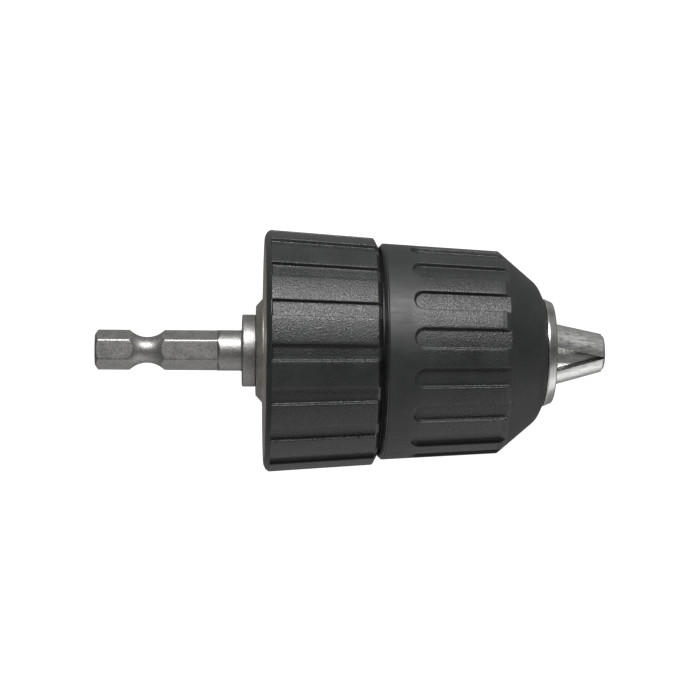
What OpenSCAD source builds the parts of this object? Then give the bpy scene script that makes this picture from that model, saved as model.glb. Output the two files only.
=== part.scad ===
// Keyless drill chuck with two sleeves on a hex quick-change shank.
// The chuck's axis runs along +X and the origin is the centre of the shank's tail face.
// Everything is in millimetres and is drawn with the jaws closed.

/* [Shank] */
// Width of the hex shank across its flats
hex_flats = 6.35; // [6.3:0.05:7]
// Length of the hex part, from the tail face
hex_len = 21.9; // [20:0.5:30]
// Distance from the tail face to the middle of the snap groove
groove_at = 9.35; // [9:0.05:10]
// Smallest diameter inside the snap groove
groove_d = 4.65; // [4.3:0.05:5]
// Radius of the rounded bottom of the snap groove
groove_arc = 4.4; // [3:0.1:5]
// Diameter of the round neck behind the collar
neck_d = 7.3; // [6.8:0.1:8]
// Length of the round neck
neck_len = 4.45; // [2:0.1:10]
// Diameter of the collar that the chuck seats against
collar_d = 13; // [11:0.1:15]
// Thickness of the collar
collar_len = 2.5; // [1.5:0.1:4]
// Diameter of the threaded stub inside the chuck
stub_d = 9.4; // [8:0.1:10]
// Length of the threaded stub
stub_len = 13.5; // [9:0.5:14]
// Pitch of the stub's thread
stub_pitch = 1.06; // [0.8:0.01:1.5]

/* [Sleeves] */
// Diameter of the body's hub inside the rear cover
hub_d = 18.6; // [16:0.2:22]
// Wall of the rear sleeve at its front end
rear_wall = 2.1; // [1.8:0.1:5]
// Radius that the rear sleeve gains from its front end to its widest place
rear_taper = 1.3; // [0.5:0.1:2]
// Distance from the collar to the front end of the rear sleeve
rear_sleeve_end = 21.8; // [21:0.1:30]
// Gap between the two sleeves
sleeve_gap = 0.35; // [0.2:0.05:0.5]
// Wall of the front sleeve around the bearing
front_wall = 1.5; // [1.2:0.1:4]
// Length of the front sleeve's fluted barrel, to the start of its cone
front_barrel_len = 21.35; // [20:0.05:26]
// Radius that the barrel loses along its length
front_taper = 1.25; // [0:0.05:1.5]
// Axial length of the front sleeve's cone
front_cone_len = 7; // [6:0.1:9]
// Number of grip flutes around each sleeve
flutes = 17; // [12:1:24]
// Width of a groove in the rear sleeve
rear_flute_w = 2.8; // [2:0.1:4]
// Depth of a groove in the rear sleeve
rear_flute_depth = 0.7; // [0.3:0.05:1]
// Width of a slot in the front sleeve
front_flute_w = 3.5; // [2:0.1:4.5]
// Depth of a slot in the front sleeve
front_flute_depth = 0.75; // [0.3:0.05:0.9]

/* [Jaws] */
// Smallest tool diameter that the jaws grip
grip_min_d = 0.8; // [0.5:0.1:1.5]
// Largest tool diameter that the jaws grip
grip_max_d = 10; // [8:0.5:12]
// Diameter of a jaw
jaw_d = 7.5; // [6.2:0.1:9]
// Angle between a jaw and the chuck's axis
jaw_angle = 16; // [15:0.1:17]
// Length of a jaw along its own axis
jaw_len = 36.4; // [34:0.1:38]
// Distance from the nose ring's front face to the jaw tips
jaw_reach = 9.4; // [6:0.1:11]
// Distance that a jaw's axis has passed the chuck's axis at the closed tip
jaw_cross = 0.6; // [0.3:0.05:0.9]
// Travel of a jaw for one turn of the front sleeve
thread_pitch = 2; // [1.6:0.1:2.4]
// Width of the ridge along a jaw that grips the tool
ridge_w = 1.8; // [1:0.1:3]
// Depth of a tooth on a jaw
tooth_depth = 0.95; // [0.7:0.05:1.1]

/* [Fits] */
// Radial clearance of the largest tool in the body's bore
tool_clearance = 0.2; // [0.1:0.05:0.5]
// Extra radius of that bore around the screw's head and where the jaws slide
bore_relief = 0.3; // [0.1:0.05:0.5]
// Radial clearance of a jaw in its bore
jaw_clearance = 0.05; // [0.03:0.01:0.1]
// Radial clearance where the front sleeve turns on the body
sleeve_clearance = 0.08; // [0.05:0.01:0.1]
// Clearance around a ball in its cage and races
ball_clearance = 0.04; // [0.03:0.01:0.1]
// Clearance at the sides of the nut's thread in the jaws' teeth
tooth_clearance = 0.2; // [0.15:0.01:0.25]
// Gap between pieces that turn past each other
running_gap = 0.3; // [0.2:0.05:0.4]

/* [Bearing] */
// Number of balls in the thrust bearing
balls = 28; // [20:1:32]
// Diameter of a ball
ball_d = 1.8; // [1.5:0.1:2.2]
// Thickness of a bearing race
race_len = 1; // [0.8:0.1:1.3]
// Depth of the ball track in a race
track_depth = 0.15; // [0.1:0.05:0.2]

/* [Nut and screw] */
// Length of the split nut
nut_len = 7.4; // [6:0.1:9]
// Thickness of the nut's flange
nut_flange_len = 1.6; // [1.2:0.1:2.5]
// Number of dogs that drive the nut
dogs = 6; // [3:1:8]
// Width of a dog
dog_w = 4; // [3:0.1:6]
// Thread diameter of the fixing screw
screw_d = 5; // [4:0.1:6]
// Thickness of the fixing screw's washer
washer_len = 0.8; // [0.5:0.1:1.2]

/* [Hidden] */
$fn = 96;
far = 200;

// Phases of the repeated features, in degrees about +X from the top.
jaw_azimuth = 45;
rear_flute_azimuth = 90.7;
front_flute_azimuth = 82.7;

// Stations along the axis.
collar_rear = hex_len + neck_len;
seat = collar_rear + collar_len;
stub_end = seat + stub_len;
web_end = stub_end + 2.7;
screw_head_x = web_end + washer_len;
screw_head_len = 3;
screw_head_end = screw_head_x + screw_head_len;
head_pocket_end = screw_head_end + 0.3;
cover_face_x = seat + 1.2;
cover_seat_x = seat + 2.3;
clip_x = seat + 2.6;
clip_len = 1;
sleeve_wall_x = clip_x + clip_len + 0.1;
core_x = seat + 6.6;
rear_front_x = seat + rear_sleeve_end;
flange_end = rear_front_x - 0.1;
rear_race_end = flange_end + race_len;
ball_x = rear_race_end + ball_d / 2 - track_depth;
front_race_start = ball_x + ball_d / 2 - track_depth;
nut_start = front_race_start + race_len;
nut_flange_end = nut_start + nut_flange_len;
nut_end = nut_start + nut_len;
back_ring_start = rear_front_x + sleeve_gap;
back_ring_end = back_ring_start + 0.75;
cone_start = back_ring_start + front_barrel_len;
cone_end = cone_start + front_cone_len;
journal_x = cone_end - 3;
front_sleeve_end = cone_end + 1.25;
ring_start = front_sleeve_end + 0.08;
ring_end = ring_start + 1.72;
tip_x = ring_end + jaw_reach;
jaw_bay_x = tip_x - jaw_len * cos(jaw_angle) - 0.3;

// Jaws, their travel, and the cone that their backs share with the nut's thread.
jaw_r = jaw_d / 2;
land_r = grip_min_d / 2;
land_travel = sqrt(pow(grip_max_d / 2, 2) - pow(land_r * sin(60), 2)) - land_r * cos(60);
jaw_travel = land_travel / sin(jaw_angle);
bore_w = jaw_r + jaw_clearance;
thread_root_w = jaw_r + 0.15;
thread_crest_w = jaw_r - tooth_depth + 0.1;
thread_foot_half = thread_pitch / 4;
thread_tip_half = thread_pitch * 0.15;
tip_spare = 6; // rod in front of the tip that the flat front face cuts off

// Radius at station x of the cone at height w above the jaws' axes.
function cone_r(x, w) = (tip_x - x) * tan(jaw_angle) - jaw_cross + w / cos(jaw_angle);

// Point [x, radius] at distance t behind the tip along a jaw and height w above its axis.
function jaw_point(t, w) = [
    tip_x - t * cos(jaw_angle) + w * sin(jaw_angle),
    t * sin(jaw_angle) - jaw_cross + w * cos(jaw_angle)
];

// Distance behind the tip along a jaw where its back passes station x.
function back_t(x) = (tip_x - x + jaw_r * sin(jaw_angle)) / cos(jaw_angle);

// The nut's thread, from its rear end, and the rack that it needs on a jaw.
thread_start_t = back_t(nut_start) - thread_foot_half - 0.4;
half_turns = floor((thread_start_t - back_t(nut_end) - thread_foot_half - 0.4) / thread_pitch * 2);
rack_start_t = jaw_len + thread_foot_half + tooth_clearance;
teeth = ceil((rack_start_t - back_t(nut_end) + jaw_travel) / thread_pitch);

// Radii, from the inside out.
hub_r = hub_d / 2;
core_r = hub_r + 3.9;
bore_r = grip_max_d / 2 + tool_clearance;
screw_r = screw_d / 2;
bearing_seat_r = cone_r(flange_end, bore_w) + 0.07;
race_in_r = bearing_seat_r + 0.1;
race_out_r = race_in_r + ball_d + 0.6;
ball_ring_r = (race_in_r + race_out_r) / 2;
nut_flange_r = race_out_r - 0.15;
sleeve_bore_r = race_out_r + running_gap;
nose_r = cone_r(nut_end, thread_root_w) + 1.45;
nut_hub_r = nose_r + 1.5;
band_r = nut_hub_r + 1.2;
dog_r = band_r + 0.9;
journal_r = cone_r(journal_x, bore_w) + 1.07;
spigot_r = journal_r - 0.85;
ring_rear_r = journal_r + 0.85;
flange_r = max(jaw_point(jaw_len + jaw_travel, jaw_r)[1] + 0.55, race_out_r + running_gap);
rear_front_r = flange_r + rear_wall;
rear_widest_r = rear_front_r + rear_taper;
cover_r = rear_widest_r - 2;
front_rear_r = sleeve_bore_r + front_wall;
front_cone_r = front_rear_r - front_taper;
front_small_r = ring_rear_r + 2.65;

// Turns a profile of [x, radius] points around the chuck's axis.
module turned(points) {
    rotate([0, 90, 0])
        rotate([0, 0, 90])
            rotate_extrude()
                polygon([for (p = points) [p[1], p[0]]]);
}

// A cylinder along the axis between two stations.
module round_bar(x0, x1, r) {
    translate([x0, 0, 0])
        rotate([0, 90, 0])
            cylinder(h = x1 - x0, r = r);
}

// A ring along the axis between two stations.
module ring(x0, x1, r_in, r_out) {
    turned([[x0, r_in], [x0, r_out], [x1, r_out], [x1, r_in]]);
}

// Repeats what it is given around the axis.
module around(count, start = 0) {
    for (i = [0 : count - 1])
        rotate([start + i * 360 / count, 0, 0])
            children();
}

// Blocks of one width that reach out from one radius to another, around the axis.
module blocks(count, x0, x1, r_in, r_out, width) {
    intersection() {
        ring(x0, x1, r_in, r_out);
        around(count)
            translate([x0 - 1, -width / 2, 0])
                cube([x1 - x0 + 2, width, r_out + 1]);
    }
}

// Azimuth of a jaw, in degrees about +X from the top.
function azimuth(number) = jaw_azimuth + (number - 1) * 120;

// Places what it is given in a jaw's own frame: +Z towards the tail, +X away from the axis.
module in_jaw_frame(number) {
    rotate([azimuth(number), 0, 0])
        translate([tip_x, 0, -jaw_cross])
            rotate([0, jaw_angle - 90, 0])
                children();
}

// The hex bar with its chamfered tail and a cone into the round neck.
module hex_bar() {
    corner_r = hex_flats / 2 / cos(30);
    blunt_r = corner_r - 0.08;
    intersection() {
        rotate([0, 90, 0])
            cylinder(h = hex_len + 0.5, r = corner_r, $fn = 6);
        turned([
            [0, 0], [0, corner_r - 1.1], [0.35, corner_r - 0.45], [1.1, blunt_r],
            [hex_len - 0.6, blunt_r], [hex_len + 0.5, neck_d / 2 - 0.1], [hex_len + 0.5, 0]
        ]);
    }
}

// The snap groove: a round bottom with a cone on each side.
module snap_groove() {
    bottom_r = groove_d / 2;
    flank = 38;
    half_w = groove_arc * sin(flank);
    rise = groove_arc * (1 - cos(flank));
    lip_w = half_w + (hex_flats - bottom_r - rise) / tan(flank);
    rotate([0, 90, 0])
        rotate([0, 0, 90])
            rotate_extrude()
                difference() {
                    polygon([
                        [bottom_r + rise, groove_at - half_w], [hex_flats, groove_at - lip_w],
                        [hex_flats, groove_at + lip_w], [bottom_r + rise, groove_at + half_w],
                        [bottom_r - 0.2, groove_at + half_w], [bottom_r - 0.2, groove_at - half_w]
                    ]);
                    difference() {
                        translate([bottom_r - 1, groove_at - half_w - 1])
                            square([1 + rise, 2 * half_w + 2]);
                        translate([bottom_r + groove_arc, groove_at])
                            circle(r = groove_arc);
                    }
                }
}

// Hex shank, neck, collar and threaded stub in one turned piece.
module shank_adapter() {
    edge = 0.35;
    thread_depth = 0.5;
    thread_x = seat + 2;
    threads = floor((stub_len - 3.5) / stub_pitch);
    color("gray")
        difference() {
            union() {
                difference() {
                    hex_bar();
                    snap_groove();
                }
                round_bar(hex_len + 0.3, collar_rear + 0.1, neck_d / 2);
                turned([
                    [collar_rear, 0], [collar_rear, collar_d / 2 - edge], [collar_rear + edge, collar_d / 2],
                    [seat - edge, collar_d / 2], [seat, collar_d / 2 - edge], [seat, 0]
                ]);
                turned(concat(
                    [[seat - 0.5, 0], [seat - 0.5, stub_d / 2]],
                    [for (i = [0 : threads - 1]) each [
                        [thread_x + i * stub_pitch, stub_d / 2],
                        [thread_x + (i + 0.5) * stub_pitch, stub_d / 2 - thread_depth]
                    ]],
                    [
                        [thread_x + threads * stub_pitch, stub_d / 2],
                        [stub_end - 0.8, stub_d / 2], [stub_end, stub_d / 2 - 0.8], [stub_end, 0]
                    ]
                ));
            }
            round_bar(stub_end - 10, stub_end + 1, screw_r + 0.05);
        }
}

// The three inclined jaw bores.
module jaw_bores() {
    for (i = [1 : 3])
        in_jaw_frame(i)
            translate([0, 0, -12])
                cylinder(h = jaw_len + jaw_travel + 13, r = bore_w);
}

// The steel core that holds everything.
module chuck_body() {
    waist_w = jaw_r - tooth_depth - running_gap;
    waist_x = nut_start - 0.3;
    front_x = ring_end - 0.05;
    color("silver")
        difference() {
            turned([
                [seat, 0], [seat, hub_r - 1.2], [seat + 1.1, hub_r],
                [clip_x, hub_r], [clip_x, hub_r - 0.8],
                [clip_x + clip_len, hub_r - 0.8], [clip_x + clip_len, hub_r],
                [core_x, hub_r], [core_x, core_r],
                [flange_end - 4.5, core_r], [flange_end - 4.5, flange_r], [flange_end, flange_r],
                [flange_end, bearing_seat_r], [waist_x, bearing_seat_r],
                [waist_x, cone_r(waist_x, waist_w)],
                [nut_end + 0.2, cone_r(nut_end + 0.2, waist_w)], [nut_end + 0.2, nose_r],
                [cone_start - 3, nose_r], [journal_x, journal_r],
                [ring_start, journal_r], [ring_start, spigot_r],
                [front_x - 0.25, spigot_r], [front_x, spigot_r - 0.25], [front_x, 0]
            ]);
            jaw_bores();
            round_bar(seat - 1, stub_end + 0.2, stub_d / 2 + 0.06);
            round_bar(stub_end, web_end + 1, screw_r + 0.25);
            round_bar(web_end, jaw_bay_x + 1, bore_r);
            round_bar(web_end, head_pocket_end, bore_r + bore_relief);
            round_bar(jaw_bay_x, ring_end + 1, bore_r + bore_relief);
        }
}

// Left-hand screw that locks the shank from inside the bore.
module fixing_screw() {
    head_r = bore_r - 1.2;
    socket_r = screw_r * 0.92;
    color("dimgray")
        difference() {
            union() {
                round_bar(stub_end - 8, screw_head_x + 0.1, screw_r);
                turned([
                    [screw_head_x, 0], [screw_head_x, head_r],
                    [screw_head_end - 0.5, head_r],
                    [screw_head_end, head_r - 0.5], [screw_head_end, 0]
                ]);
            }
            translate([screw_head_x + 1, 0, 0])
                rotate([0, 90, 0])
                    cylinder(h = screw_head_len, r = socket_r, $fn = 6);
        }
}

// Flat washer under the screw's head.
module fixing_washer() {
    color("silver")
        ring(web_end, screw_head_x, screw_r + 0.1, bore_r - 0.3);
}

// Rear sleeve: a plastic cup with open grip grooves.
module rear_sleeve() {
    rim_x = seat + 1.5;
    widest_x = rim_x + 0.95;
    chamfer_x = rear_front_x - 1.25;
    tilt = atan(rear_taper / (chamfer_x - widest_x));
    color([0.18, 0.18, 0.18])
        difference() {
            turned([
                [core_x, hub_r], [sleeve_wall_x, hub_r], [sleeve_wall_x, hub_r + 4.7],
                [cover_seat_x, hub_r + 4.7], [cover_seat_x, cover_r], [rim_x, cover_r],
                [rim_x, cover_r + 0.8], [rim_x + 0.35, rear_widest_r - 0.45],
                [widest_x, rear_widest_r], [chamfer_x, rear_front_r],
                [rear_front_x, rear_front_r - 1.7], [rear_front_x, flange_r], [core_x, flange_r]
            ]);
            around(flutes, rear_flute_azimuth)
                translate([widest_x, 0, rear_widest_r - rear_flute_depth])
                    rotate([0, tilt, 0])
                        translate([0, -rear_flute_w / 2, 0])
                            cube([rear_sleeve_end, rear_flute_w, 3]);
        }
}

// Domed sheet-metal cover that closes the rear sleeve.
module rear_cover() {
    color("lightgray")
        turned([
            [cover_face_x + 0.05, hub_r + 0.02], [cover_face_x, hub_r + 0.6],
            [cover_face_x + 0.35, cover_r - 0.3], [cover_face_x + 0.55, cover_r - 0.02],
            [cover_seat_x, cover_r - 0.02], [cover_seat_x - 0.3, hub_r + 0.02]
        ]);
}

// Open retaining ring in the hub's groove.
module rear_circlip() {
    mouth_w = 5;
    axial_gap = 0.05;
    color("dimgray")
        difference() {
            ring(clip_x + axial_gap, clip_x + clip_len - axial_gap, hub_r - 0.75, hub_r + 2.2);
            translate([seat, -mouth_w / 2, 0])
                cube([far, mouth_w, far]);
        }
}

// One bearing race with a ball track in one face.
module race(x0) {
    difference() {
        ring(x0, x0 + race_len, race_in_r, race_out_r);
        rotate([0, 90, 0])
            rotate([0, 0, 90])
                rotate_extrude()
                    translate([ball_ring_r, ball_x])
                        circle(r = ball_d / 2 + ball_clearance);
    }
}

// Race that rests on the body's flange.
module rear_race() {
    color("silver")
        race(flange_end);
}

// Race that turns with the nut.
module front_race() {
    color("silver")
        race(front_race_start);
}

// Thin cage that spaces the balls.
module ball_cage() {
    half_len = 0.4;
    color("goldenrod")
        difference() {
            ring(ball_x - half_len, ball_x + half_len, race_in_r, sleeve_bore_r - 0.15);
            around(balls)
                translate([ball_x - 2, 0, ball_ring_r])
                    rotate([0, 90, 0])
                        cylinder(h = 4, r = ball_d / 2 + ball_clearance);
        }
}

// All the balls of the thrust bearing.
module bearing_balls() {
    color("silver")
        around(balls)
            translate([ball_x, 0, ball_ring_r])
                sphere(d = ball_d, $fn = 32);
}

// One half turn of the nut's conical thread, a number of turns from the rear end.
module thread_arc(turns) {
    steps = 20;
    margin = 4;
    sections = [for (i = [0 : steps])
        let (
            angle = margin + i * (180 - 2 * margin) / steps,
            t = thread_start_t - (turns + angle / 360) * thread_pitch,
            root = thread_root_w + 0.3,
            profile = [
                jaw_point(t - thread_foot_half, root), jaw_point(t + thread_foot_half, root),
                jaw_point(t + thread_tip_half, thread_crest_w),
                jaw_point(t - thread_tip_half, thread_crest_w)
            ]
        )
        [for (p = profile) [p[0], -p[1] * sin(angle), p[1] * cos(angle)]]
    ];
    last = steps * 4;
    polyhedron(
        points = [for (s = sections) each s],
        faces = concat(
            [for (i = [0 : steps - 1]) for (k = [0 : 3])
                let (a = i * 4 + k, b = i * 4 + (k + 1) % 4)
                each [[a, b + 4, b], [a, a + 4, b + 4]]
            ],
            [[0, 1, 2, 3], [last + 3, last + 2, last + 1, last]]
        )
    );
}

// One half of the split nut, the second turned half way around.
module nut_half(side) {
    arcs = floor((half_turns + 1 - side) / 2);
    rotate([side * 180, 0, 0]) {
        intersection() {
            turned([
                [nut_start, cone_r(nut_start, thread_root_w)], [nut_start, nut_flange_r],
                [nut_flange_end, nut_flange_r], [nut_flange_end, nut_hub_r],
                [nut_end, nut_hub_r], [nut_end, cone_r(nut_end, thread_root_w)]
            ]);
            translate([0, -far - 0.02, -far / 2])
                cube([far, far, far]);
        }
        for (i = [0 : arcs - 1])
            thread_arc(i + side / 2);
    }
}

// First half of the split nut.
module nut_half_a() {
    color("silver")
        nut_half(0);
}

// Second half of the split nut.
module nut_half_b() {
    color("silver")
        nut_half(1);
}

// Steel band that holds the nut halves together and drives them by its dogs.
module nut_band() {
    color("gray")
        union() {
            ring(nut_flange_end, nut_end - 0.3, nut_hub_r, band_r);
            blocks(dogs, nut_flange_end, nut_end - 1, band_r - 0.3, dog_r, dog_w);
        }
}

// Thin ring that closes the back of the front sleeve.
module back_ring() {
    color([0.25, 0.25, 0.25])
        turned([
            [back_ring_start, sleeve_bore_r], [back_ring_start, front_rear_r - 0.55],
            [back_ring_end - 0.2, front_rear_r - 0.02], [back_ring_end, front_rear_r - 0.12],
            [back_ring_end, sleeve_bore_r]
        ]);
}

// Cutter for one grip slot of the front sleeve, with a round rear end.
module front_slot() {
    rear_end = front_flute_w / 2;
    slot_x = 5.25;
    tilt = atan(front_taper / front_barrel_len);
    floor_r = front_rear_r - slot_x * tan(tilt) - front_flute_depth;
    translate([back_ring_start + slot_x, 0, floor_r])
        rotate([0, tilt, 0]) {
            translate([rear_end, 0, 0])
                cylinder(h = 3, r = rear_end);
            translate([rear_end, -rear_end, 0])
                cube([front_barrel_len + front_cone_len, front_flute_w, 3]);
        }
}

// Front sleeve: the fluted plastic sleeve that is turned by hand.
module front_sleeve() {
    journal_bore_r = journal_r + sleeve_clearance;
    nut_bore_r = band_r + 0.1;
    nose_bore_r = nose_r + 1;
    color([0.2, 0.2, 0.2])
        difference() {
            turned([
                [back_ring_end, sleeve_bore_r], [back_ring_end, front_rear_r - 0.1],
                [back_ring_end + 0.1, front_rear_r], [cone_start, front_cone_r],
                [cone_end, front_small_r], [cone_end + 0.8, front_small_r - 1.3],
                [front_sleeve_end, ring_rear_r + 0.05], [front_sleeve_end, journal_bore_r],
                [journal_x + 1, journal_bore_r], [journal_x, journal_r + 1.2],
                [cone_start - 3, nose_bore_r], [nut_end + 0.3, nose_bore_r],
                [nut_end + 0.3, nut_bore_r], [nut_flange_end + 0.1, nut_bore_r],
                [nut_flange_end + 0.1, sleeve_bore_r]
            ]);
            blocks(dogs, nut_flange_end, nut_end, band_r - 0.2, dog_r + 0.15, dog_w + 0.2);
            around(flutes, front_flute_azimuth)
                front_slot();
        }
}

// Steel ring pressed on the nose.
module nose_ring() {
    corner = 0.45;
    front_r = ring_rear_r - 0.6;
    color("silver")
        turned([
            [ring_start, spigot_r], [ring_start, ring_rear_r], [ring_start + 0.25, ring_rear_r],
            [ring_end - corner, front_r], [ring_end - corner * 0.29, front_r - corner * 0.29],
            [ring_end, front_r - corner], [ring_end, spigot_r + 0.2], [ring_end - 0.2, spigot_r]
        ]);
}

// Distance behind the tip of the rearmost tooth gap that meets the nut's thread on a jaw.
function first_gap_t(number) =
    let (phase = azimuth(number) / 360)
    thread_start_t + (floor((rack_start_t - thread_start_t) / thread_pitch + phase) - phase) * thread_pitch;

// Curved tooth gaps across the back of a jaw.
module tooth_gaps(number) {
    curve_r = cone_r((nut_start + nut_end) / 2, jaw_r);
    foot = thread_tip_half + tooth_clearance;
    mouth = thread_foot_half + tooth_clearance;
    for (i = [0 : teeth - 1])
        translate([jaw_r - curve_r, 0, first_gap_t(number) - i * thread_pitch])
            rotate_extrude()
                polygon([
                    [curve_r - tooth_depth, -foot], [curve_r, -mouth], [curve_r + 0.6, -mouth],
                    [curve_r + 0.6, mouth], [curve_r, mouth], [curve_r - tooth_depth, foot]
                ]);
}

// Flat reliefs along both sides of a jaw's front, which leave the gripping ridge between them.
module jaw_reliefs() {
    relief_len = jaw_reach / cos(jaw_angle) + 1.6;
    axis_at = jaw_cross * cos(jaw_angle);
    half = ridge_w / 2;
    reach = jaw_d;
    for (side = [-1, 1])
        translate([0, 0, -tip_spare])
            linear_extrude(height = relief_len + tip_spare)
                polygon([
                    [axis_at - reach, side * half], [axis_at + half / tan(60), side * half],
                    [axis_at + reach / tan(60), side * reach], [axis_at - reach, side * reach]
                ]);
}

// One jaw: a ground cylinder with a pointed front, a gripping land and a toothed back.
module jaw(number) {
    flank_gap = 0.03;
    chamfer = 0.45;
    oval_r = jaw_r + 0.12;
    color([0.6, 0.6, 0.6])
        difference() {
            in_jaw_frame(number)
                difference() {
                    translate([0, 0, -tip_spare])
                        cylinder(h = jaw_len + tip_spare, r = jaw_r);
                    tooth_gaps(number);
                    jaw_reliefs();
                }
            rotate([azimuth(number), 0, 0]) {
                translate([tip_x, -far / 2, -far / 2])
                    cube([far, far, far]);
                translate([0, 0, -jaw_cross])
                    turned([
                        [tip_x - chamfer, oval_r], [tip_x + 1, oval_r - chamfer - 1],
                        [tip_x + 1, far], [tip_x - chamfer, far]
                    ]);
                rotate([60, 0, 0])
                    translate([0, flank_gap - far, -far / 2])
                        cube([far, far, far]);
                rotate([-60, 0, 0])
                    translate([0, -flank_gap, -far / 2])
                        cube([far, far, far]);
                round_bar(0, tip_x + 1, land_r);
            }
        }
}

// First jaw.
module jaw_1() {
    jaw(1);
}

// Second jaw.
module jaw_2() {
    jaw(2);
}

// Third jaw.
module jaw_3() {
    jaw(3);
}

shank_adapter();
chuck_body();
fixing_screw();
fixing_washer();
rear_sleeve();
rear_cover();
rear_circlip();
rear_race();
nose_ring();
ball_cage();
bearing_balls();
front_race();
nut_half_a();
nut_half_b();
nut_band();
back_ring();
front_sleeve();
jaw_1();
jaw_2();
jaw_3();
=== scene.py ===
"""Looks of the keyless drill chuck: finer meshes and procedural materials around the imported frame."""
import math

import bmesh
import bpy
from mathutils import Matrix, Vector


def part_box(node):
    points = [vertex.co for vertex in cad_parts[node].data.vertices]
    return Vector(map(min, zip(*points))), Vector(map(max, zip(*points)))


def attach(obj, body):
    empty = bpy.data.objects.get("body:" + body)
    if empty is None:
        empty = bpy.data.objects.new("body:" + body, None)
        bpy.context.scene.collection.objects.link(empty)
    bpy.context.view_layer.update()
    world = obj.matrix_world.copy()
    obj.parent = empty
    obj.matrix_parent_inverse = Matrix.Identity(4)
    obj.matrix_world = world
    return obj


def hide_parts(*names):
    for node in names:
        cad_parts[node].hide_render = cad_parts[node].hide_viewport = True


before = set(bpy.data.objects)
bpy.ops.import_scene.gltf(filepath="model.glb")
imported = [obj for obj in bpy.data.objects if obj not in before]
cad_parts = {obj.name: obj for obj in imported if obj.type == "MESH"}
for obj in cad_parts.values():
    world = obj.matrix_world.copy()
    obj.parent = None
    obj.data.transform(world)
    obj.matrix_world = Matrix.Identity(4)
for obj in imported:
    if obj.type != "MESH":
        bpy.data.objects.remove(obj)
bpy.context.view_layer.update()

MM = 0.001
TAU = 2 * math.pi

# ---------------------------------------------------------------- places taken from the frame


def span(node):
    """First and last station of a node along the chuck's axis, in millimetres."""
    low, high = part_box(node)
    return low.x / MM, high.x / MM


def reach(node):
    """Largest radius of a round node, in millimetres."""
    low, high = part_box(node)
    return max(high.y, high.z, -low.y, -low.z) / MM


REAR_X0, REAR_X1 = span("rear_sleeve")
REAR_R = reach("rear_sleeve")
FRONT_X0, FRONT_X1 = span("front_sleeve")
FRONT_R = reach("front_sleeve")
BACK_X0, BACK_X1 = span("back_ring")
NOSE_X0, NOSE_X1 = span("nose_ring")
NOSE_R = reach("nose_ring")
COVER_X0, COVER_X1 = span("rear_cover")
COVER_R = reach("rear_cover")

# ---------------------------------------------------------------- mesh helpers


def arc_corner(before, corner, after, radius, steps=5):
    """Points of a round of the given radius where two straight lines of an outline meet."""
    a = Vector(before) - Vector(corner)
    b = Vector(after) - Vector(corner)
    half = a.angle(b) / 2
    cut = min(radius / math.tan(half), a.length * 0.49, b.length * 0.49)
    r = cut * math.tan(half)
    start = Vector(corner) + a.normalized() * cut
    end = Vector(corner) + b.normalized() * cut
    middle = Vector(corner) + (a.normalized() + b.normalized()).normalized() * (r / math.sin(half))
    u, v = start - middle, end - middle
    turn = u.angle(v)
    points = []
    for i in range(steps + 1):
        t = i / steps
        w = (u * math.sin((1 - t) * turn) + v * math.sin(t * turn)) / math.sin(turn)
        points.append(tuple(middle + w))
    return points


def rounded(outline):
    """Closed outline of (x, radius, round) points with each corner rounded by its own radius."""
    points = []
    count = len(outline)
    for i, (x, r, blend) in enumerate(outline):
        before, after = outline[i - 1], outline[(i + 1) % count]
        if blend > 0:
            points += arc_corner(before[:2], (x, r), after[:2], blend)
        else:
            points.append((x, r))
    return points


def grid_mesh(name, rows, closed_rows=True, caps=()):
    """Mesh from rows of points in millimetres; rows join each other and each row joins its own ends."""
    count = len(rows[0])
    verts = [tuple(c * MM for c in p) for row in rows for p in row]
    faces = []
    pairs = [(i, (i + 1) % len(rows)) for i in range(len(rows) if closed_rows else len(rows) - 1)]
    for i, k in pairs:
        for j in range(count):
            m = (j + 1) % count
            faces.append((i * count + j, i * count + m, k * count + m, k * count + j))
    for row, flip in caps:
        ring = [row * count + j for j in range(count)]
        faces.append(tuple(reversed(ring)) if flip else tuple(ring))
    mesh = bpy.data.meshes.new(name)
    mesh.from_pydata(verts, [], faces)
    mesh.validate()
    mesh.update()
    return mesh


def add_object(name, mesh, body, material, replaced=(), smooth_angle=35):
    """Links a piece, makes its normals point outwards, smooths it and ties it to its body."""
    bm = bmesh.new()
    bm.from_mesh(mesh)
    bmesh.ops.recalc_face_normals(bm, faces=bm.faces)
    bm.to_mesh(mesh)
    bm.free()
    obj = bpy.data.objects.new(name, mesh)
    bpy.context.scene.collection.objects.link(obj)
    mesh.materials.append(material)
    for poly in mesh.polygons:
        poly.use_smooth = True
    mesh.set_sharp_from_angle(angle=math.radians(smooth_angle))
    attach(obj, body)
    for node in replaced:
        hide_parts(node)
    return obj


def around(x, r, angle):
    """Point at a station and radius, turned about +X from the top."""
    return (x, -r * math.sin(angle), r * math.cos(angle))


def lathe(outline, segments=160):
    """Rows of points of a closed outline turned about the axis."""
    return [[around(x, r, TAU * j / segments) for j in range(segments)] for x, r in outline]


# ---------------------------------------------------------------- materials


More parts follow.
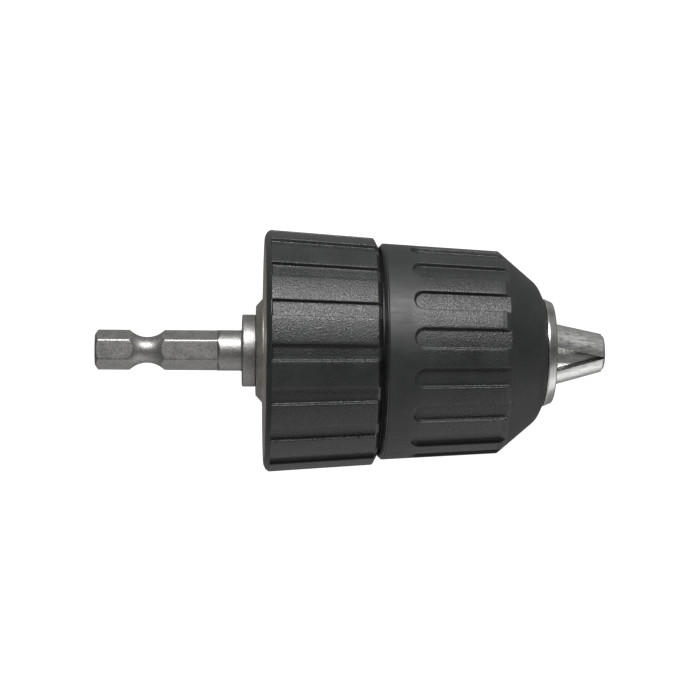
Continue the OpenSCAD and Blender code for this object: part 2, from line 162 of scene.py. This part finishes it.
class Shader:
    """A Principled material whose nodes are added one by one."""

    def __init__(self, name, roughness, metallic=0.0):
        self.material = bpy.data.materials.new(name)
        self.material.use_nodes = True
        self.tree = self.material.node_tree
        self.bsdf = self.tree.nodes["Principled BSDF"]
        self.bsdf.inputs["Roughness"].default_value = roughness
        self.bsdf.inputs["Metallic"].default_value = metallic
        self.place = self.tree.nodes.new("ShaderNodeTexCoord").outputs["Object"]

    def node(self, kind, inputs=(), **settings):
        made = self.tree.nodes.new(kind)
        for key, value in settings.items():
            setattr(made, key, value)
        for key, value in dict(inputs).items():
            if isinstance(value, bpy.types.NodeSocket):
                self.tree.links.new(value, made.inputs[key])
            else:
                made.inputs[key].default_value = value
        return made

    def math(self, operation, *values):
        return self.node("ShaderNodeMath", dict(enumerate(values)), operation=operation).outputs[0]

    def ranged(self, value, low, high, to_low, to_high):
        made = self.node("ShaderNodeMapRange", {
            "Value": value, "From Min": low, "From Max": high, "To Min": to_low, "To Max": to_high})
        return made.outputs["Result"]

    def noise(self, vector, scale, detail=2.0, rough=0.5):
        made = self.node("ShaderNodeTexNoise", {
            "Vector": vector, "Scale": scale, "Detail": detail, "Roughness": rough})
        return made.outputs["Fac"]

    def stretched(self, x, y, z):
        made = self.node("ShaderNodeMapping", {"Vector": self.place, "Scale": (x, y, z)})
        return made.outputs["Vector"]

    def turned_place(self):
        """Coordinates (station, radius, 0), so that a texture runs in rings around the axis."""
        parts = self.node("ShaderNodeSeparateXYZ", {"Vector": self.place})
        radial = self.node("ShaderNodeCombineXYZ", {"Y": parts.outputs["Y"], "Z": parts.outputs["Z"]})
        length = self.node("ShaderNodeVectorMath", {0: radial.outputs["Vector"]}, operation="LENGTH")
        made = self.node("ShaderNodeCombineXYZ", {"X": parts.outputs["X"], "Y": length.outputs["Value"]})
        return made.outputs["Vector"]

    def colours(self, value, stops):
        ramp = self.node("ShaderNodeValToRGB", {"Fac": value})
        elements = ramp.color_ramp.elements
        while len(elements) < len(stops):
            elements.new(0.5)
        for element, (place, colour) in zip(elements, stops):
            element.position = place
            element.color = (*colour, 1.0)
        self.tree.links.new(ramp.outputs["Color"], self.bsdf.inputs["Base Color"])

    def rough(self, value):
        self.tree.links.new(value, self.bsdf.inputs["Roughness"])

    def bump(self, height, strength, distance):
        made = self.node("ShaderNodeBump", {"Height": height, "Strength": strength, "Distance": distance})
        self.tree.links.new(made.outputs["Normal"], self.bsdf.inputs["Normal"])


def sleeve_plastic(name, grain_from, grain_to, smooth_rough, floor_r=0.0, lean=0.0):
    """Satin black plastic with a moulded grain between two stations and a smooth finish elsewhere.

    With a lean, the grain of a surface ends sooner by lean times its height above floor_r."""
    s = Shader(name, 0.4)
    s.bsdf.inputs["IOR"].default_value = 1.52
    turned = s.node("ShaderNodeSeparateXYZ", {"Vector": s.turned_place()})
    station = turned.outputs["X"]
    height = s.math("MAXIMUM", s.math("SUBTRACT", turned.outputs["Y"], floor_r * MM), 0.0)
    late = s.math("ADD", station, s.math("MULTIPLY", height, lean))
    rise = s.ranged(station, (grain_from - 1.5) * MM, (grain_from + 1.5) * MM, 0.0, 1.0)
    fall = s.ranged(late, (grain_to - 0.2) * MM, (grain_to + 0.2) * MM, 1.0, 0.0)
    grained = s.math("MULTIPLY", rise, fall)
    grain = s.noise(s.place, 3900.0, 2.0, 0.6)
    cloud = s.noise(s.place, 160.0, 3.0, 0.55)
    scuff = s.noise(s.stretched(0.3, 1.0, 1.0), 900.0, 4.0, 0.6)
    s.bump(s.math("MULTIPLY", grain, s.ranged(grained, 0.0, 1.0, 0.08, 1.0)), 1.0, 0.00009)
    base = s.ranged(grained, 0.0, 1.0, smooth_rough, 0.37)
    glint = s.math("MULTIPLY", grained, s.ranged(grain, 0.35, 0.65, 0.13, -0.13))
    uneven = s.math("ADD", s.ranged(scuff, 0.3, 0.7, -0.05, 0.05), s.ranged(cloud, 0.3, 0.7, -0.02, 0.04))
    s.rough(s.math("ADD", base, s.math("ADD", glint, uneven)))
    s.colours(s.math("ADD", s.math("MULTIPLY", cloud, 0.5), s.math("MULTIPLY", grain, 0.5)),
              [(0.38, (0.006, 0.0066, 0.007)), (0.62, (0.016, 0.0168, 0.0166))])
    return s.material


def turned_steel(name, dark, light, roughness, ring_scale=9000.0, strength=0.25, stain=None):
    """Steel with fine tool marks in rings around the axis and a soft cloud in its colour."""
    s = Shader(name, roughness, 1.0)
    rings = s.noise(s.turned_place(), ring_scale, 4.0, 0.7)
    cloud = s.noise(s.place, 260.0, 4.0, 0.6)
    speck = s.noise(s.place, 3200.0, 2.0, 0.6)
    mixed = s.math("ADD", s.math("MULTIPLY", cloud, 0.6), s.math("MULTIPLY", rings, 0.4))
    stops = [(0.35, dark), (0.65, light)]
    if stain:
        stops = [(0.3, stain), (0.46, dark), (0.66, light)]
    s.colours(mixed, stops)
    s.rough(s.math("ADD", s.ranged(cloud, 0.3, 0.7, roughness - 0.06, roughness + 0.06),
                   s.ranged(speck, 0.3, 0.7, -0.04, 0.04)))
    s.bump(s.math("ADD", rings, s.math("MULTIPLY", speck, 0.4)), strength, 0.00003)
    return s.material


def blasted_steel(name, dark, light, roughness):
    """Satin steel with an even fine speckle, as after blasting or tumbling."""
    s = Shader(name, roughness, 1.0)
    speck = s.noise(s.place, 3400.0, 3.0, 0.65)
    cloud = s.noise(s.place, 520.0, 4.0, 0.6)
    s.colours(s.math("ADD", s.math("MULTIPLY", cloud, 0.3), s.math("MULTIPLY", speck, 0.7)),
              [(0.35, dark), (0.65, light)])
    s.rough(s.ranged(cloud, 0.3, 0.7, roughness - 0.03, roughness + 0.04))
    s.bump(speck, 0.5, 0.00008)
    return s.material


def ground_steel(name, dark, light, roughness):
    """Ground steel with streaks along the chuck's axis."""
    s = Shader(name, roughness, 1.0)
    streaks = s.noise(s.stretched(0.05, 1.0, 1.0), 2600.0, 5.0, 0.7)
    cloud = s.noise(s.place, 380.0, 4.0, 0.6)
    s.colours(s.math("ADD", s.math("MULTIPLY", cloud, 0.3), s.math("MULTIPLY", streaks, 0.7)),
              [(0.36, dark), (0.64, light)])
    s.rough(s.ranged(streaks, 0.3, 0.7, roughness - 0.08, roughness + 0.08))
    s.bump(streaks, 0.5, 0.00008)
    return s.material


SHANK_STEEL = blasted_steel("shank_steel", (0.185, 0.1825, 0.176), (0.36, 0.355, 0.343), 0.44)
BODY_STEEL = turned_steel("body_steel", (0.34, 0.33, 0.295), (0.56, 0.545, 0.51), 0.50,
                          stain=(0.20, 0.175, 0.13))
COVER_STEEL = turned_steel("cover_steel", (0.36, 0.355, 0.32), (0.58, 0.57, 0.53), 0.48)
NOSE_STEEL = turned_steel("nose_steel", (0.34, 0.34, 0.33), (0.66, 0.66, 0.65), 0.27,
                          stain=(0.16, 0.16, 0.155))
NUT_STEEL = turned_steel("nut_steel", (0.36, 0.36, 0.36), (0.52, 0.52, 0.52), 0.34)
BAND_STEEL = turned_steel("band_steel", (0.30, 0.30, 0.31), (0.44, 0.44, 0.45), 0.38)
# Painted shade: the races are coloured near black so that the narrow, deep gap between the sleeves, where
# they show, stays dark.
RACE_PAINTED_SHADE_STEEL = blasted_steel("race_steel", (0.030, 0.030, 0.032), (0.055, 0.055, 0.058), 0.45)
BALL_STEEL = blasted_steel("ball_steel", (0.58, 0.58, 0.60), (0.68, 0.68, 0.70), 0.12)
CAGE_BRASS = turned_steel("cage_brass", (0.50, 0.36, 0.15), (0.66, 0.50, 0.24), 0.34)
SCREW_STEEL = blasted_steel("screw_steel", (0.06, 0.06, 0.065), (0.12, 0.12, 0.125), 0.42)
CLIP_STEEL = blasted_steel("clip_steel", (0.10, 0.10, 0.105), (0.18, 0.18, 0.185), 0.40)
JAW_STEEL = ground_steel("jaw_steel", (0.32, 0.32, 0.312), (0.66, 0.66, 0.646), 0.32)
REAR_PLASTIC = sleeve_plastic("rear_sleeve_plastic", REAR_X0, REAR_X1 - 0.8, 0.22)
FRONT_PLASTIC = sleeve_plastic("front_sleeve_plastic", FRONT_X0 + 5, FRONT_X1 - 7.05, 0.52,
                               floor_r=FRONT_R - 2.0, lean=2.2)
# The back ring is smooth all over: its grain would start in front of it.
RING_PLASTIC = sleeve_plastic("back_ring_plastic", BACK_X0 + 20, BACK_X1 + 20, 0.36)

CAD_MATERIALS = {
    "chuck_body": BODY_STEEL, "fixing_screw": SCREW_STEEL, "fixing_washer": CLIP_STEEL,
    "rear_circlip": CLIP_STEEL, "rear_race": RACE_PAINTED_SHADE_STEEL, "front_race": RACE_PAINTED_SHADE_STEEL,
    "ball_cage": CAGE_BRASS, "bearing_balls": BALL_STEEL, "nut_half_a": NUT_STEEL,
    "nut_half_b": NUT_STEEL, "nut_band": BAND_STEEL, "jaw_1": JAW_STEEL, "jaw_2": JAW_STEEL,
    "jaw_3": JAW_STEEL,
}
for cad_name, cad_material in CAD_MATERIALS.items():
    for material_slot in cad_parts[cad_name].material_slots:
        material_slot.material = cad_material

# ---------------------------------------------------------------- sleeves

# Height of a groove's or slot's side against the distance outside its edge, in millimetres.
SIDE_CURVE = [(-0.16, 1.0), (-0.07, 0.96), (-0.02, 0.82), (0.03, 0.18), (0.08, 0.04), (0.16, 0.0)]
FLUTES = 17
# Places of the first groove and the first slot, in degrees about +X from the top.
REAR_FLUTE_AT, FRONT_FLUTE_AT = 90.7, 82.7
# Radius of the front sleeve's bore at its rear end, which the back ring shares.
FRONT_BORE_R = 18.05


def side_share(distance):
    """Share of the full depth at a signed distance outside the edge of a groove."""
    if distance <= SIDE_CURVE[0][0]:
        return 1.0
    for (s0, d0), (s1, d1) in zip(SIDE_CURVE, SIDE_CURVE[1:]):
        if distance <= s1:
            return d0 + (d1 - d0) * (distance - s0) / (s1 - s0)
    return 0.0


def flute_columns(half_width, mean_r, inner_step, phase):
    """Angle and sideways place of every column of a fluted sleeve, dense at the edges of its grooves."""
    edges = [half_width + s for s, _ in SIDE_CURVE]
    inner = [i * inner_step for i in range(1, int(edges[0] / inner_step + 0.5))]
    half_period = math.pi * mean_r / FLUTES
    lands = [edges[-1] + (half_period - edges[-1]) * t for t in (0.2, 0.45, 0.72)]
    half = inner + edges + lands
    offsets = [-half_period] + [-y for y in reversed(half)] + [0.0] + half
    return [(phase + k * TAU / FLUTES + y / mean_r, y) for k in range(FLUTES) for y in offsets]


def fluted_rows(outline, columns, floor_r, edge_distance):
    """Rows of a turned outline with grooves pressed down to floor_r(x) inside edge_distance(x, y)."""
    rows = []
    for x, r in outline:
        over = max(0.0, r - floor_r(x))
        rows.append([around(x, r - over * side_share(edge_distance(x, y)) if over else r, angle)
                     for angle, y in columns])
    return rows


def stations(points, start, end, step):
    """Adds points at an even step to every line of an outline between two stations."""
    result = []
    for i, (x0, r0) in enumerate(points):
        x1, r1 = points[(i + 1) % len(points)]
        result.append((x0, r0))
        marks = [start + step * k for k in range(int((end - start) / step) + 1)]
        inside = [m for m in marks if min(x0, x1) + 0.01 < m < max(x0, x1) - 0.01]
        for m in sorted(inside, reverse=x1 < x0):
            result.append((m, r0 + (r1 - r0) * (m - x0) / (x1 - x0)))
    return result


def make_rear_sleeve():
    """The rear sleeve: a cup with a smooth rim and grooves that open at its front chamfer."""
    width, depth = 2.8, 0.7
    hub_r, recess_r, bore_r = 9.3, 14.0, 18.38
    widest_x, chamfer_x = REAR_X0 + 0.95, REAR_X1 - 0.85
    front_r = REAR_R - 1.3
    seat_x, wall_x, floor_x = REAR_X0 + 0.8, REAR_X0 + 2.2, REAR_X0 + 5.1
    rim_r = REAR_R - 2.0
    slope = (REAR_R - front_r) / (chamfer_x - widest_x)
    outline = rounded([
        (floor_x, hub_r, 0), (wall_x, hub_r, 0), (wall_x, recess_r, 0), (seat_x, recess_r, 0),
        (seat_x, rim_r, 0), (REAR_X0, rim_r, 0.1), (REAR_X0, rim_r + 0.8, 0.15),
        (REAR_X0 + 0.35, REAR_R - 0.45, 0.15), (widest_x, REAR_R, 0.2),
        (chamfer_x, front_r, 0.15), (REAR_X1, front_r - 1.6, 0.15), (REAR_X1, bore_r, 0),
        (floor_x, bore_r, 0)])
    outline = stations(outline, widest_x - 0.2, widest_x + 0.35, 0.07)
    outline = stations(outline, widest_x + 2, chamfer_x, 4.0)
    columns = flute_columns(width / 2, REAR_R - 0.8, 0.5, math.radians(REAR_FLUTE_AT))

    def floor_r(x):
        return REAR_R - depth - slope * (x - widest_x)

    def edge_distance(x, y):
        return max(abs(y) - width / 2, widest_x - x)

    mesh = grid_mesh("rear_sleeve_shell", fluted_rows(outline, columns, floor_r, edge_distance))
    return add_object("rear_sleeve_shell", mesh, "core", REAR_PLASTIC,
                      ["rear_sleeve"], 50)


def make_front_sleeve():
    """The front sleeve: round-ended slots that run out through its cone."""
    width, depth = 3.5, 0.75
    taper, cone_len, nose_len = 1.25, 7.0, 1.25
    cone_x1 = FRONT_X1 - nose_len
    cone_x0 = cone_x1 - cone_len
    barrel_x0 = BACK_X0
    slope = taper / (cone_x0 - barrel_x0)
    slot_x = barrel_x0 + 5.25
    end_r = width / 2
    shoulder_r, small_r, mouth_r, journal_r = FRONT_R - taper, NOSE_R + 2.65, NOSE_R + 0.05, NOSE_R - 0.77
    nut_bore_r, nose_bore_r = 16.41, 14.61
    nut_x0, nut_x1 = span("nut_band")[0] + 0.1, span("nut_band")[1] + 0.6
    outline = rounded([
        (FRONT_X0, FRONT_BORE_R, 0), (FRONT_X0, FRONT_R - 0.05, 0.12), (cone_x0, shoulder_r, 0.5),
        (cone_x1, small_r, 4.6), (FRONT_X1, mouth_r, 0.3), (FRONT_X1, journal_r, 0),
        (cone_x1 - 2, journal_r, 0), (cone_x1 - 3, journal_r + 1.1, 0), (cone_x0 - 3, nose_bore_r, 0),
        (nut_x1, nose_bore_r, 0), (nut_x1, nut_bore_r, 0), (nut_x0, nut_bore_r, 0),
        (nut_x0, FRONT_BORE_R, 0)])
    outline = stations(outline, slot_x - 0.3, slot_x + end_r + 0.2, 0.13)
    outline = stations(outline, slot_x + end_r + 2, cone_x0, 3.5)
    outline = stations(outline, cone_x0 + 0.3, cone_x0 + 1.4, 0.16)
    columns = flute_columns(width / 2, FRONT_R - 0.6, 0.16, math.radians(FRONT_FLUTE_AT))

    def floor_r(x):
        return FRONT_R - depth - slope * (x - barrel_x0)

    def edge_distance(x, y):
        return math.hypot(min(0.0, x - slot_x - end_r), y) - end_r

    mesh = grid_mesh("front_sleeve_shell", fluted_rows(outline, columns, floor_r, edge_distance))
    return add_object("front_sleeve_shell", mesh, "turning_sleeve", FRONT_PLASTIC,
                      ["front_sleeve"], 50)


# ---------------------------------------------------------------- turned pieces


def turned_piece(name, outline, body, material):
    """A closed outline turned about the axis, in place of the CAD node of the same base name."""
    mesh = grid_mesh(name + "_turned", lathe(rounded(outline)))
    return add_object(name + "_turned", mesh, body, material, [name], 30)


def make_turned_pieces():
    """Back ring, rear cover and nose ring with rounded edges."""
    hub_bore_r, spigot_r = 9.32, 8.0
    turned_piece("back_ring", [
        (BACK_X0, FRONT_BORE_R, 0), (BACK_X0, FRONT_R - 0.55, 0.12), (BACK_X1 - 0.17, FRONT_R, 0.15),
        (BACK_X1, FRONT_R - 0.12, 0.05), (BACK_X1, FRONT_BORE_R, 0)],
        "turning_sleeve", RING_PLASTIC)
    turned_piece("rear_cover", [
        (COVER_X0 + 0.05, hub_bore_r, 0.04), (COVER_X0, 9.9, 0.5),
        (COVER_X0 + 0.35, COVER_R - 0.3, 0.3), (COVER_X0 + 0.55, COVER_R, 0.15),
        (COVER_X1, COVER_R, 0), (COVER_X1 - 0.3, hub_bore_r, 0)],
        "core", COVER_STEEL)
    turned_piece("nose_ring", [
        (NOSE_X0, spigot_r, 0), (NOSE_X0, NOSE_R, 0.08), (NOSE_X0 + 0.3, NOSE_R, 0.1),
        (NOSE_X1, NOSE_R - 0.62, 0.5), (NOSE_X1, 8.1, 0.1), (NOSE_X1 - 0.2, spigot_r, 0)],
        "core", NOSE_STEEL)


# ---------------------------------------------------------------- shank


def soft_min(a, b, blend):
    """The smaller of two radii, with the edge between them rounded off."""
    low = min(a, b)
    return low - blend * math.log(math.exp((low - a) / blend) + math.exp((low - b) / blend))


def make_shank():
    """Hex bar with its snap groove and rounded corners, the neck, the collar and the stub."""
    flat_r, hex_end, neck_r = 3.175, 21.9, 3.65
    corner_r = flat_r / math.cos(math.radians(30)) - 0.06
    groove_at, groove_r, groove_arc = 9.35, 2.325, 4.4
    flank = math.radians(38)
    collar_x0, collar_x1, collar_r = 26.35, 28.85, 6.5
    stub_r, stub_end, screw_bore_r, screw_bore_x = 4.7, 42.35, 2.55, 32.85
    segments = 144

    def hex_r(angle):
        turn = angle % (TAU / 6) - TAU / 12
        return soft_min(flat_r / math.cos(turn), corner_r, 0.03)

    def bar_r(x):
        tail = corner_r + 0.3 - 1.15 * max(0.0, 1 - x / 1.0) ** 1.5
        away = abs(x - groove_at)
        if away < groove_arc * math.sin(flank):
            groove = groove_r + groove_arc - math.sqrt(groove_arc ** 2 - away ** 2)
        else:
            groove = (groove_r + groove_arc * (1 - math.cos(flank))
                      + (away - groove_arc * math.sin(flank)) * math.tan(flank))
        return soft_min(tail, groove, 0.04)

    steps = 176
    rows = []
    for i in range(steps + 1):
        x = hex_end * i / steps
        rows.append([around(x, soft_min(hex_r(TAU * j / segments), bar_r(x), 0.03), TAU * j / segments)
                     for j in range(segments)])
    for rise in (0.1, 0.2, 0.3, 0.4, 0.5):
        rows.append([around(hex_end + rise, min(neck_r, hex_r(TAU * j / segments) + rise),
                            TAU * j / segments) for j in range(segments)])
    turned = rounded([
        (hex_end + 0.6, neck_r, 0), (collar_x0, neck_r, 0.3), (collar_x0, collar_r, 0.3),
        (collar_x1, collar_r, 0.3), (collar_x1, stub_r, 0), (stub_end, stub_r, 0.7),
        (stub_end, screw_bore_r, 0), (screw_bore_x, screw_bore_r, 0), (screw_bore_x, 0.05, 0)])
    rows += lathe(turned, segments)
    mesh = grid_mesh("shank_bar", rows, closed_rows=False,
                     caps=[(0, True), (len(rows) - 1, False)])
    return add_object("shank_bar", mesh, "core", SHANK_STEEL, ["shank_adapter"], 30)


make_rear_sleeve()
make_front_sleeve()
make_turned_pieces()
make_shank()

# ---------------------------------------------------------------- camera, light and floor

# The point that the camera looks at, its distance and the width that it sees there, in millimetres.
LOOK_X, LOOK_UP = 45.85, 0.23
CAMERA_DISTANCE = 450.0
CAMERA_AZIMUTH = math.radians(-3.1)
CAMERA_ROLL = math.radians(0.4)
SENSOR = 36.0
FIELD = 126.4


def make_camera():
    data = bpy.data.cameras.new("camera")
    data.sensor_width = SENSOR
    data.lens = SENSOR * CAMERA_DISTANCE / FIELD
    data.clip_start = 0.01
    data.clip_end = 20
    camera = bpy.data.objects.new("camera", data)
    bpy.context.scene.collection.objects.link(camera)
    back = Vector((math.sin(CAMERA_AZIMUTH), -math.cos(CAMERA_AZIMUTH), 0))
    target = Vector((LOOK_X, 0, LOOK_UP)) * MM
    turn = back.to_track_quat("Z", "Y").to_matrix().to_4x4()
    camera.matrix_world = (Matrix.Translation(target + back * CAMERA_DISTANCE * MM) @ turn
                           @ Matrix.Rotation(CAMERA_ROLL, 4, "Z"))
    bpy.context.scene.camera = camera


def make_area(name, place, size, power):
    """A soft rectangular light that faces the middle of the chuck."""
    data = bpy.data.lights.new(name, "AREA")
    data.shape = "RECTANGLE"
    data.size, data.size_y = size
    data.energy = power
    light = bpy.data.objects.new(name, data)
    bpy.context.scene.collection.objects.link(light)
    target = Vector((LOOK_X, 0, 0)) * MM
    light.location = Vector(place)
    light.rotation_euler = (light.location - target).to_track_quat("Z", "Y").to_euler()


def make_floor():
    mesh = bpy.data.meshes.new("floor")
    low, half = -0.5, 20.0
    mesh.from_pydata([(-half, -half, low), (half, -half, low), (half, half, low), (-half, half, low)], [],
                     [(0, 1, 2, 3)])
    floor = bpy.data.objects.new("floor", mesh)
    bpy.context.scene.collection.objects.link(floor)
    s = Shader("floor_paint", 0.9)
    s.colours(s.noise(s.place, 2.0), [(0.3, (0.88, 0.88, 0.88)), (0.7, (0.9, 0.9, 0.9))])
    s.bsdf.inputs["Emission Color"].default_value = (1, 1, 1, 1)
    s.bsdf.inputs["Emission Strength"].default_value = 0.75
    mesh.materials.append(s.material)
    floor.visible_diffuse = False
    floor.visible_glossy = False


def make_world():
    """White to the camera; the object sees a grey room, brightest below and darkest at its own height."""
    world = bpy.data.worlds.new("studio")
    bpy.context.scene.world = world
    world.use_nodes = True
    tree = world.node_tree
    background = tree.nodes["Background"]

    def ranged(value, low, high, to_low, to_high):
        made = tree.nodes.new("ShaderNodeMapRange")
        for key, number in (("From Min", low), ("From Max", high)):
            made.inputs[key].default_value = number
        for key, number in (("To Min", to_low), ("To Max", to_high)):
            if isinstance(number, bpy.types.NodeSocket):
                tree.links.new(number, made.inputs[key])
            else:
                made.inputs[key].default_value = number
        tree.links.new(value, made.inputs["Value"])
        return made.outputs["Result"]

    place = tree.nodes.new("ShaderNodeTexCoord")
    parts = tree.nodes.new("ShaderNodeSeparateXYZ")
    tree.links.new(place.outputs["Generated"], parts.inputs["Vector"])
    ramp = tree.nodes.new("ShaderNodeValToRGB")
    tree.links.new(ranged(parts.outputs["Z"], -1, 1, 0, 1), ramp.inputs["Fac"])
    # Height (0 straight down, 0.5 level, 1 straight up) and brightness of the room.
    greys = ((0, 0.82), (0.22, 0.32), (0.5, 0.14), (1, 0.46))
    while len(ramp.color_ramp.elements) < len(greys):
        ramp.color_ramp.elements.new(0.5)
    for stop, (height, grey) in zip(ramp.color_ramp.elements, greys):
        stop.position = height
        stop.color = (grey, grey, grey, 1)
    side = ranged(parts.outputs["X"], -0.8, 0.9, 0.9, 1.3)
    lit = tree.nodes.new("ShaderNodeMath")
    lit.operation = "MULTIPLY"
    tree.links.new(ramp.outputs["Color"], lit.inputs[0])
    tree.links.new(side, lit.inputs[1])
    room = lit.outputs[0]
    rays = tree.nodes.new("ShaderNodeLightPath")
    tree.links.new(ranged(rays.outputs["Is Camera Ray"], 0, 1, room, 1.15), background.inputs["Strength"])
    background.inputs["Color"].default_value = (1, 1, 1, 1)


make_camera()
make_world()
make_floor()
make_area("key", (0.03, -0.42, 0.42), (0.40, 0.20), 5.0)
make_area("low", (0.38, -0.06, -0.34), (0.4, 0.4), 0.5)
bpy.context.scene.view_settings.view_transform = "Standard"
